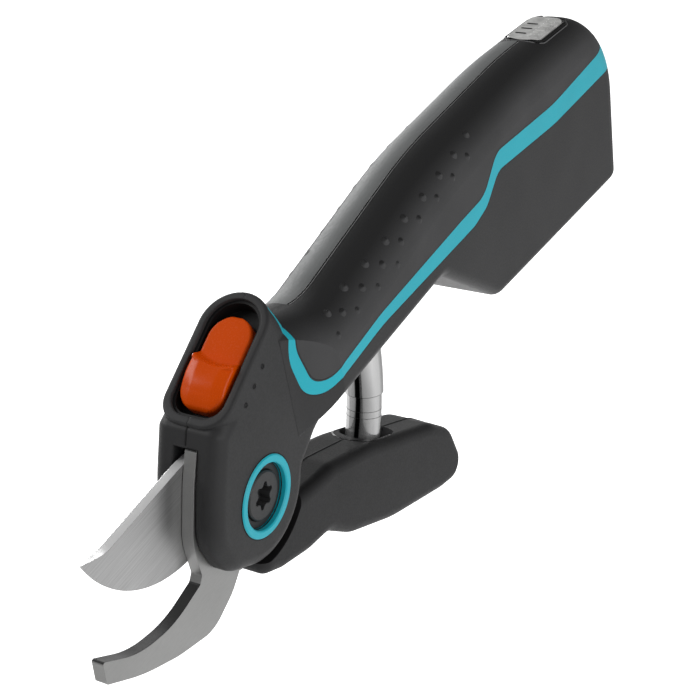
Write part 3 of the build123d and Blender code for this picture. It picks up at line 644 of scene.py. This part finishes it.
def slider():
    rows, columns = 240, 72
    bm = bmesh.new()
    grid = []
    for i in range(rows + 1):
        share = i / rows
        u = REAR - (REAR - FRONT) * (0.5 - 0.5 * math.cos(math.pi * share))
        half = max(slider_half(u), 0.02)
        row = []
        for j in range(columns + 1):
            v = -half * math.cos(math.pi * j / columns)
            inset = min(half - abs(v), REAR - u, u - FRONT)
            radius = 0.8
            drop = 0.0
            if inset < radius:
                drop = radius - math.sqrt(max(0.0, radius ** 2 - (radius - inset) ** 2))
            w = slider_height(u, v) - drop
            row.append(bm.verts.new((BOSS_TOP + ALONG * u + ABOVE * w + Vector((0, v, 0))) * MM))
        grid.append(row)
    for a, b in zip(grid, grid[1:]):
        for j in range(columns):
            bm.faces.new((a[j], a[j + 1], b[j + 1], b[j]))
    loop = [row[0] for row in grid] + grid[-1][1:] + [row[-1] for row in reversed(grid[:-1])]
    loop += list(reversed(grid[0][1:-1]))
    foot = []
    for vert in loop:
        place = vert.co / MM - BOSS_TOP
        foot.append(bm.verts.new(vert.co - ABOVE * (place.dot(ABOVE) + 4.0) * MM))
    for k in range(len(loop)):
        n = (k + 1) % len(loop)
        bm.faces.new((loop[k], loop[n], foot[n], foot[k]))
    bmesh.ops.recalc_face_normals(bm, faces=bm.faces)
    piece = new_piece("slider_thumb_piece", bm, made["slider_colour"].mat, "slider")
    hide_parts("safety_slider")


# ---------------------------------------------------------------- springs and strap
def soft_copy(name, node):
    """A free piece with a CAD part's shape; the CAD part is hidden."""
    mesh = nodes[node].data.copy()
    mesh.name = name
    piece = bpy.data.objects.new(name, mesh)
    bpy.context.scene.collection.objects.link(piece)
    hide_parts(node)
    return piece


def springs_and_strap():
    # both lie along the sleeve's curve, from the housing at the top to the lever at the foot
    for name, node, slot, top, foot in (
        ("return_spring_coil", "return_spring", "spring_steel", 14.8, -37.1),
        ("pull_strap_band", "pull_strap", "strap_webbing", 16.0, -38.0),
    ):
        piece = soft_copy(name, node)
        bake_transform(piece)
    piece = soft_copy("button_spring_coil", "button_spring")
    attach(piece, "housing")
    upright = Vector((math.sin(BUTTON_TILT), 0, math.cos(BUTTON_TILT)))
    foot = (BUTTON_MIDDLE - upright * 11.0) * MM
    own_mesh(piece)


grip_bumps(-1)
grip_bumps(1)
seams()
small_marks()
button_frame()
sleeve_rings()
hole_rim()
slider()
springs_and_strap()


# ---------------------------------------------------------------- floor, light and camera
def floor():
    bm = bmesh.new()
    size, z = 6.0, -0.45          # metres: half the floor's width, and its height
    corners = [(-size, -size, z), (size, -size, z), (size, size, z), (-size, size, z)]
    bm.faces.new([bm.verts.new(c) for c in corners])
    mesh = bpy.data.meshes.new("floor")
    bm.to_mesh(mesh)
    bm.free()
    piece = bpy.data.objects.new("floor", mesh)
    bpy.context.scene.collection.objects.link(piece)
    m = Nodes("floor_white", (0.9, 0.9, 0.9, 1), 1.0, spec=0)
    m.bsdf.inputs["Emission Color"].default_value = (1, 1, 1, 1)
    place = m.add("ShaderNodeSeparateXYZ")
    m.link(m.coord, place.inputs[0])
    # Painted for the main view: the floor glows white in the part which that view shows, and
    # faintly elsewhere. Two lines bound that part, each a * x + b * y = reach, in metres.
    fields = []
    for a, b, reach in ((-0.333, 1.0, -0.107), (1.0, 0.41, 0.354)):
        across = m.add("ShaderNodeMath", operation="MULTIPLY")
        across.inputs[1].default_value = a
        m.link(place.outputs["X"], across.inputs[0])
        deep = m.add("ShaderNodeMath", operation="MULTIPLY_ADD")
        deep.inputs[1].default_value = b
        m.link(place.outputs["Y"], deep.inputs[0])
        m.link(across.outputs[0], deep.inputs[2])
        fields.append(m.ramp(deep.outputs[0], 0, 1, reach - 0.20, reach - 0.06))
    both = m.add("ShaderNodeMath", operation="MULTIPLY")
    m.link(fields[0], both.inputs[0])
    m.link(fields[1], both.inputs[1])
    m.set("Emission Strength", m.ramp(both.outputs[0], 0.18, 1.0, 0, 1))
    m.set("Roughness", m.ramp(m.noise(3, 2), 0.95, 1.0))
    mesh.materials.append(m.mat)


def area(name, place, target, size, power):
    """A soft rectangular light at a place, turned to a target."""
    lamp = bpy.data.lights.new(name, "AREA")
    lamp.shape = "RECTANGLE"
    lamp.size, lamp.size_y = size
    lamp.energy = power
    piece = bpy.data.objects.new(name, lamp)
    bpy.context.scene.collection.objects.link(piece)
    piece.location = place
    piece.rotation_mode = "QUATERNION"
    aim = (Vector(target) - Vector(place)).normalized()
    piece.rotation_quaternion = aim.to_track_quat("-Z", "Y")


floor()
area("side_light", (-0.05, -0.85, 0.30), (0.08, 0, 0), (0.9, 0.5), 3.1)
area("rim_light", (-0.1, 0.75, 0.55), (0.10, 0.005, 0.03), (0.7, 0.35), 3.6)
area("front_light", (-0.8, -0.35, 0.15), (0, 0, 0), (0.4, 0.4), 0.15)
area("back_light", (0.75, 0.95, 0.20), (0.05, 0, 0.02), (0.5, 0.3), 6.0)

SKY = 0.18
EYE = Vector((-198.62, -176.11, 217.45)) * MM
AHEAD = Vector((0.67187, 0.46661, -0.57521)).normalized()
UP = Vector((0.56412, 0.18088, 0.80564))
LENS, SENSOR = 77.14, 36

world = bpy.data.worlds.new("world")
bpy.context.scene.world = world
world.use_nodes = True
world.node_tree.nodes["Background"].inputs["Color"].default_value = (1, 1, 1, 1)
world.node_tree.nodes["Background"].inputs["Strength"].default_value = SKY

camera = bpy.data.cameras.new("camera")
camera.lens = LENS
camera.sensor_width = SENSOR
camera.clip_start, camera.clip_end = 0.01, 20
eye = bpy.data.objects.new("camera", camera)
bpy.context.scene.collection.objects.link(eye)
right = AHEAD.cross(UP).normalized()
upright = right.cross(AHEAD).normalized()
turn = Matrix((right, upright, -AHEAD)).transposed().to_4x4()
eye.matrix_world = Matrix.Translation(EYE) @ turn
bpy.context.scene.camera = eye
bpy.context.scene.view_settings.view_transform = "Standard"
